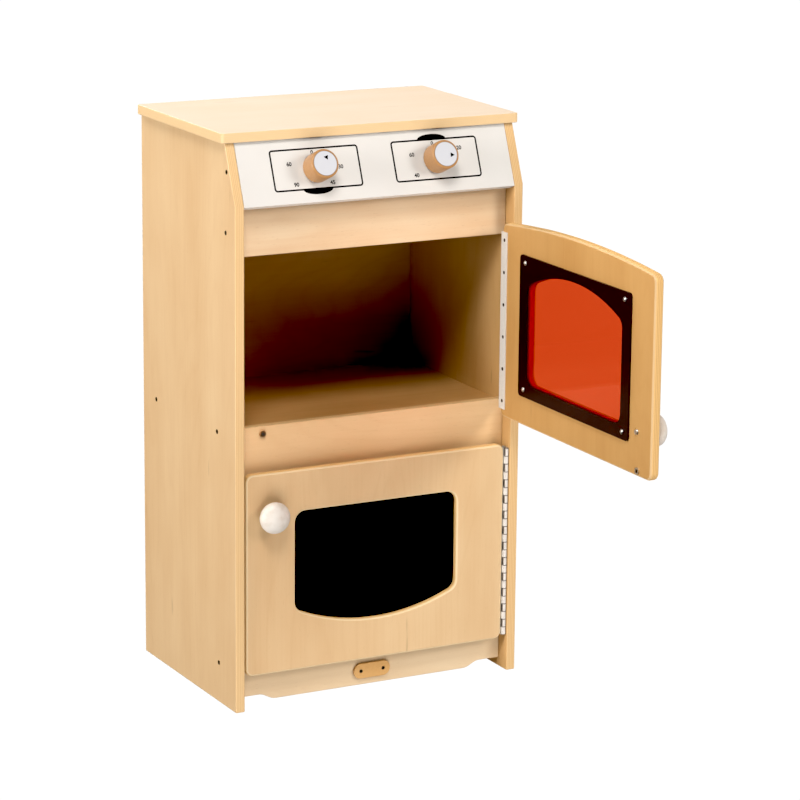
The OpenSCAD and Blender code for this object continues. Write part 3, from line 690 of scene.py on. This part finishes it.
# %% [markdown]
# ## Acrylic windows and the knobs
#
# The upper pane is clear orange acrylic: light goes through it and takes the colour, so the
# shader transmits instead of being painted orange. The lower pane and both frames are black.
# Dust and wiping leave very faint marks, which show only in the gloss.
# The knobs have an off-white glaze, which is a little uneven in tone.

# %% Acrylic and glazed knobs
def acrylic(name, colour, rough, **constants):
    sheet = Finish(name, colour, rough, **constants)
    wiped = sheet.even_noise(60, 3)
    sheet.set("Roughness", rough + wiped.ramp(0.45, 0.75) * 0.05)
    return sheet.material


frame_black = acrylic("frame_acrylic", shade(46, 32, 37), 0.30, Specular_IOR_Level=0.18)
pane_black = acrylic("dark_acrylic", shade(5, 3, 4), 0.10, Specular_IOR_Level=0.12)
pane_orange = acrylic("orange_acrylic", shade(218, 84, 54), 0.03, Transmission_Weight=1.0, IOR=1.3)
dress("lower_window_pane", pane_black)
dress("upper_window_pane", pane_orange)

glaze = Finish("knob_glaze", shade(226, 214, 200), 0.40, Coat_Weight=0.25, Coat_Roughness=0.20)
cloudy = glaze.even_noise(70, 3).ramp(0.35, 0.75)
glaze.set("Base Color", glaze.mix(cloudy, shade(240, 231, 221), shade(223, 211, 197)))
for door in ("upper", "lower"):
    dress(door + "_window_frame", frame_black)
    dress(door + "_door_knob", glaze.material)
print(len(bpy.data.materials), "finishes")

# %% [markdown]
# ## The print on the panel
#
# The panel carries two thin black outlines with round corners, each with a small black cap,
# and plain numbers round the dials. Ink has almost no thickness, but a flat sheet exactly on
# the laminate would flicker, so the ink is a solid 0.1 mm thick that sits on the face.
# Sizes and places of the print are given in millimetres on the slope.

# %% Ink and points on the slope
INK = 0.10
ink = Finish("black_ink", shade(15, 12, 13), 0.55, Specular_IOR_Level=0.25)
ink.set("Roughness", 0.48 + ink.even_noise(500, 2) * 0.16)


def slope_place(x, rise, lift=0.0):
    """A point x to the right and rise up the slope, lift above the laminate."""
    return SLOPE_FOOT + X * x * MM + SLOPE_UP * rise * MM + SLOPE_OUT * lift * MM


def slope_frame(x, rise, lift=0.0, turn=0.0):
    base = Matrix((X, SLOPE_UP, SLOPE_OUT)).transposed().to_4x4()
    return Matrix.Translation(slope_place(x, rise, lift)) @ base @ Matrix.Rotation(turn, 4, "Z")


print("left dial at", [round(v, 4) for v in slope_place(-DIAL_ASIDE, DIAL_RISE)])


# %% Flat ink shapes
def ink_shape(name, loops, frame_at, body):
    """A thin solid between flat loops of points; a second loop is a hole."""
    mesh = bmesh.new()
    rings = [[mesh.verts.new((x * MM, y * MM, 0)) for x, y in loop] for loop in loops]
    if len(rings) == 2:
        outside, inside = rings
        for i in range(len(outside)):
            j = (i + 1) % len(outside)
            mesh.faces.new((outside[i], outside[j], inside[j], inside[i]))
    else:
        mesh.faces.new(rings[0])
    raised = bmesh.ops.extrude_face_region(mesh, geom=mesh.faces[:])
    tops = [v for v in raised["geom"] if isinstance(v, bmesh.types.BMVert)]
    bmesh.ops.translate(mesh, verts=tops, vec=(0, 0, INK * MM))
    bmesh.ops.recalc_face_normals(mesh, faces=mesh.faces)
    made = put_mesh(name, mesh)
    made.matrix_world = frame_at
    made.data.materials.append(ink.material)
    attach(made, body)


def round_rectangle(width, height, radius, steps=8):
    points = []
    for corner in range(4):
        sign_x = 1 if corner in (0, 3) else -1
        sign_y = 1 if corner in (0, 1) else -1
        for step in range(steps + 1):
            angle = math.radians(90 * corner + 90 * step / steps)
            x = sign_x * (width / 2 - radius) + radius * math.cos(angle)
            y = sign_y * (height / 2 - radius) + radius * math.sin(angle)
            points.append((x, y))
    return points


print("ink shapes ready")

# %% Outlines and caps
WIDE, HIGH, ROUND = 145, 63, 5
LINE = 2.4
CAP_HALF, CAP_HIGH = 24, 8

outer = round_rectangle(WIDE, HIGH, ROUND)
inner = round_rectangle(WIDE - 2 * LINE, HIGH - 2 * LINE, ROUND - LINE)
for side, x in (("left", -DIAL_ASIDE), ("right", DIAL_ASIDE)):
    ink_shape("outline_" + side, [outer, inner], slope_frame(x, DIAL_RISE), "cabinet")

angles = [math.radians(degrees) for degrees in range(0, 181, 6)]
arc = [(CAP_HALF * math.cos(angle), CAP_HIGH * math.sin(angle)) for angle in angles]
ink_shape("cap_right", [arc], slope_frame(97, 79.2), "cabinet")
ink_shape("cap_left", [arc], slope_frame(-102, 17.8, turn=math.pi), "cabinet")
print("outlines", WIDE, "x", HIGH, "mm")

# %% Plain numbers round the dials
DIGIT_HIGH = 5.8
# a digit fills this share of the font's size
DIGIT_SHARE = 0.7
# the outline of a digit grows by this much
FATTER = 0.18

# text, to the right, up the slope
MARKS = (
    ("0", -103.2, 72.6), ("60", -143, 57.3), ("90", -136, 26.0), ("30", -60, 48.2), ("45", -77, 25.5),
    ("0", 97, 72.6), ("60", 60, 57.3), ("40", 63, 25.7), ("20", 141, 63.0),
)


def number(name, text, x, rise):
    curve = bpy.data.curves.new(name, "FONT")
    curve.body = text
    curve.size = DIGIT_HIGH * MM / DIGIT_SHARE
    curve.align_x = "CENTER"
    curve.align_y = "CENTER"
    curve.offset = FATTER * MM
    curve.extrude = INK * MM / 2
    flat = put(name + "_curve", curve)
    bpy.context.view_layer.update()
    shape = bpy.data.meshes.new_from_object(flat)
    bpy.data.objects.remove(flat)
    made = put(name, shape)
    made.matrix_world = slope_frame(x, rise, INK / 2)
    made.data.materials.clear()
    made.data.materials.append(ink.material)
    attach(made, "cabinet")


for i, (text, x, rise) in enumerate(MARKS):
    number(f"number_{i}", text, x, rise)
print(len(MARKS), "numbers")

# %% Pointers on the discs
ARROW = ((-3.5, -2.9), (3.5, -2.9), (0, 3.7))

# dial, its centre, to the right, up the slope, turn in degrees
POINTERS = (
    ("washer", -DIAL_ASIDE, -97.5, 57.5, 80),
    ("dryer", DIAL_ASIDE, 110.5, 46.5, -96),
)
for side, centre, x, rise, turn in POINTERS:
    vertices = solids[side + "_dial_face"].data.vertices
    top = max((v.co - slope_place(centre, DIAL_RISE)).dot(SLOPE_OUT) for v in vertices)
    turned = slope_frame(x, rise, top / MM, math.radians(turn))
    ink_shape(side + "_pointer", [ARROW], turned, side + "_dial")
print("print in place")
